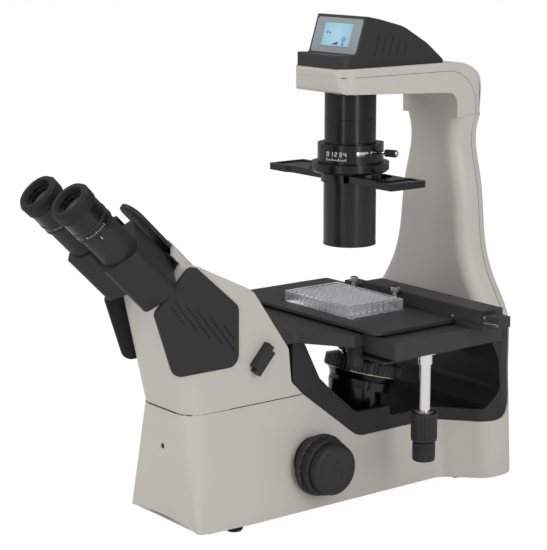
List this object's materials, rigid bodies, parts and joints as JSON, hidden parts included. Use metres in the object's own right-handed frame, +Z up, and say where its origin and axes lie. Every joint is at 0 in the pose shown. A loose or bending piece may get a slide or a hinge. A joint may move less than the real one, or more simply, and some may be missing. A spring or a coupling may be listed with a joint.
{
  "type": "inverted microscope",
  "caption": "Inverted microscope: inclined binocular head, see-through stand with objective nosepiece, moving stage with well plate, tall pillar with lamp column, condenser and control console.",
  "frame": {"origin": "centre of the footprint of the whole instrument, on the table under its feet", "axes": "+X to the operator's right, +Y from the operator towards the pillar, +Z up; the optical axis is vertical through x = -0.022 m, y = 0.120 m"},
  "size_m": [0.37, 0.6064, 0.568],
  "materials": {
    "light_grey_paint": "satin light grey stove enamel",
    "black_paint": "fine textured black enamel",
    "black_anodised": "satin black anodising",
    "dark_plastic": "fine grained black moulding",
    "grip_rubber": "soft matt rubber",
    "knob_plastic": "satin black moulding",
    "grey_plastic": "satin grey moulding",
    "steel": "ground steel",
    "chrome": "bright chrome",
    "aluminium": "natural aluminium",
    "lens_glass": "coated optical glass",
    "mirror": "front-surface mirror",
    "screen_glass": "glossy display window",
    "board_green": "coated circuit board",
    "well_plastic": "clear moulded polystyrene",
    "led_lens": "green lamp lens"
  },
  "bodies": {
    "root": {"base_housing": "light_grey_paint", "base_plate": "steel", "foot_pads": "grip_rubber", "window_casting": "black_paint", "front_housing": "light_grey_paint", "side_grips": "grip_rubber", "lower_mirror": "mirror", "light_tubes": "black_anodised", "fixed_lenses": "lens_glass", "splitter_box": "black_anodised", "camera_port": "black_anodised", "head_base": "black_paint", "pillar_and_arm": "light_grey_paint", "back_cover": "light_grey_paint", "console_housing": "dark_plastic", "screen_bezel": "grey_plastic", "touch_screen": "screen_glass", "control_board": "board_green", "lamp_tube": "black_anodised", "lamp_module": "aluminium", "aperture_housing": "black_anodised", "condenser_flange": "black_anodised", "condenser_tube": "black_anodised", "focus_bearings": "black_anodised", "guide_rods": "steel", "stage_slab": "black_paint", "stage_underplates": "black_paint", "drive_collar": "chrome", "power_inlet": "dark_plastic", "power_supply": "aluminium", "power_led": "led_lens"},
    "focus_carriage": {"focus_carriage": "black_anodised"},
    "turret": {"turret": "black_anodised", "objectives": "chrome"},
    "coarse_drive": {"coarse_drive": "knob_plastic"},
    "fine_drive": {"fine_drive": "knob_plastic"},
    "y_slide": {"y_rail": "black_anodised"},
    "x_slide": {"slide_bar": "black_anodised", "table_plate": "black_anodised", "clamp_screws": "chrome"},
    "well_plate": {"well_plate": "well_plastic"},
    "y_drive": {"y_drive": "knob_plastic"},
    "x_drive": {"x_drive": "knob_plastic"},
    "idler_gear": {"idler_gear": "steel"},
    "right_arm": {"right_arm": "black_paint", "right_eyepiece": "black_anodised", "right_eye_lens": "lens_glass", "right_eyecup": "grip_rubber"},
    "left_arm": {"left_arm": "black_paint", "left_eyepiece": "black_anodised", "left_eye_lens": "lens_glass", "left_eyecup": "grip_rubber"},
    "right_diopter_ring": {"right_diopter_ring": "black_anodised"},
    "left_diopter_ring": {"left_diopter_ring": "black_anodised"},
    "path_lever": {"path_lever": "black_anodised"},
    "beam_splitter": {"beam_splitter": "lens_glass"},
    "phase_slider": {"phase_slider": "black_anodised", "phase_rings": "lens_glass"},
    "aperture_lever": {"aperture_lever": "chrome"},
    "power_rocker": {"power_rocker": "dark_plastic"}
  },
  "joints": [
    {"name": "focus_slide", "type": "slide", "parent": "root", "child": "focus_carriage", "axis": [0, 0, 1], "range_m": [-0.002, 0.007]},
    {"name": "turret_turn", "type": "hinge", "parent": "focus_carriage", "child": "turret", "pos_m": [-0.022, 0.147, 0.15877], "axis": [0, 0.2588, 0.9659], "continuous": true},
    {"name": "coarse_turn", "type": "hinge", "parent": "root", "child": "coarse_drive", "pos_m": [-0.022, 0.016, 0.06], "axis": [1, 0, 0], "range_deg": [-20, 67]},
    {"name": "fine_turn", "type": "hinge", "parent": "root", "child": "fine_drive", "pos_m": [-0.022, 0.016, 0.06], "axis": [1, 0, 0], "continuous": true},
    {"name": "table_y", "type": "slide", "parent": "root", "child": "y_slide", "axis": [0, 1, 0], "range_m": [-0.0375, 0.0375]},
    {"name": "table_x", "type": "slide", "parent": "y_slide", "child": "x_slide", "axis": [1, 0, 0], "range_m": [-0.057, 0.057]},
    {"name": "well_plate_lift", "type": "slide", "parent": "x_slide", "child": "well_plate", "axis": [0, 0, 1], "range_m": [0, 0.03]},
    {"name": "y_knob_turn", "type": "hinge", "parent": "root", "child": "y_drive", "pos_m": [0.126, 0.11, 0.1], "axis": [0, 0, 1], "range_deg": [-540, 540]},
    {"name": "x_knob_turn", "type": "hinge", "parent": "root", "child": "x_drive", "pos_m": [0.126, 0.11, 0.075], "axis": [0, 0, 1], "range_deg": [-364, 364]},
    {"name": "idler_turn", "type": "hinge", "parent": "root", "child": "idler_gear", "pos_m": [0.096, 0.11, 0.2], "axis": [0, 0, 1], "range_deg": [-359, 359]},
    {"name": "right_eyetube_pivot", "type": "hinge", "parent": "root", "child": "right_arm", "pos_m": [-0.022, -0.161, 0.301], "axis": [0, -0.7071, 0.7071], "range_deg": [-17.5, 15.3]},
    {"name": "left_eyetube_pivot", "type": "hinge", "parent": "root", "child": "left_arm", "pos_m": [-0.022, -0.161, 0.301], "axis": [0, -0.7071, 0.7071], "range_deg": [-15.3, 17.5]},
    {"name": "right_diopter_turn", "type": "hinge", "parent": "right_arm", "child": "right_diopter_ring", "pos_m": [0.0105, -0.2581, 0.36512], "axis": [0, -0.7071, 0.7071], "range_deg": [-120, 120]},
    {"name": "left_diopter_turn", "type": "hinge", "parent": "left_arm", "child": "left_diopter_ring", "pos_m": [-0.0545, -0.2581, 0.36512], "axis": [0, -0.7071, 0.7071], "range_deg": [-120, 120]},
    {"name": "splitter_slide", "type": "slide", "parent": "root", "child": "beam_splitter", "axis": [1, 0, 0], "range_m": [0, 0.022]},
    {"name": "path_lever_turn", "type": "hinge", "parent": "root", "child": "path_lever", "pos_m": [0.028, -0.052, 0.192], "axis": [1, 0, 0], "range_deg": [0, 90]},
    {"name": "phase_slide", "type": "slide", "parent": "root", "child": "phase_slider", "axis": [1, 0, 0], "range_m": [-0.045, 0.045]},
    {"name": "aperture_turn", "type": "hinge", "parent": "root", "child": "aperture_lever", "pos_m": [-0.022, 0.12, 0.409], "axis": [0, 0, 1], "range_deg": [-40, 40]},
    {"name": "power_rock", "type": "hinge", "parent": "root", "child": "power_rocker", "pos_m": [-0.007, 0.299, 0.045], "axis": [1, 0, 0], "range_deg": [0, 18]}
  ],
  "couplings": [
    {"joint": "coarse_turn", "follows": "focus_slide", "rad_per_m": 166.67},
    {"joint": "idler_turn", "follows": "table_y", "rad_per_m": 166.67},
    {"joint": "y_knob_turn", "follows": "table_y", "rad_per_m": -250},
    {"joint": "x_knob_turn", "follows": "table_x", "rad_per_m": 111.11},
    {"joint": "left_eyetube_pivot", "follows": "right_eyetube_pivot", "ratio": -1},
    {"joint": "path_lever_turn", "follows": "splitter_slide", "rad_per_m": 71.4}
  ]
}
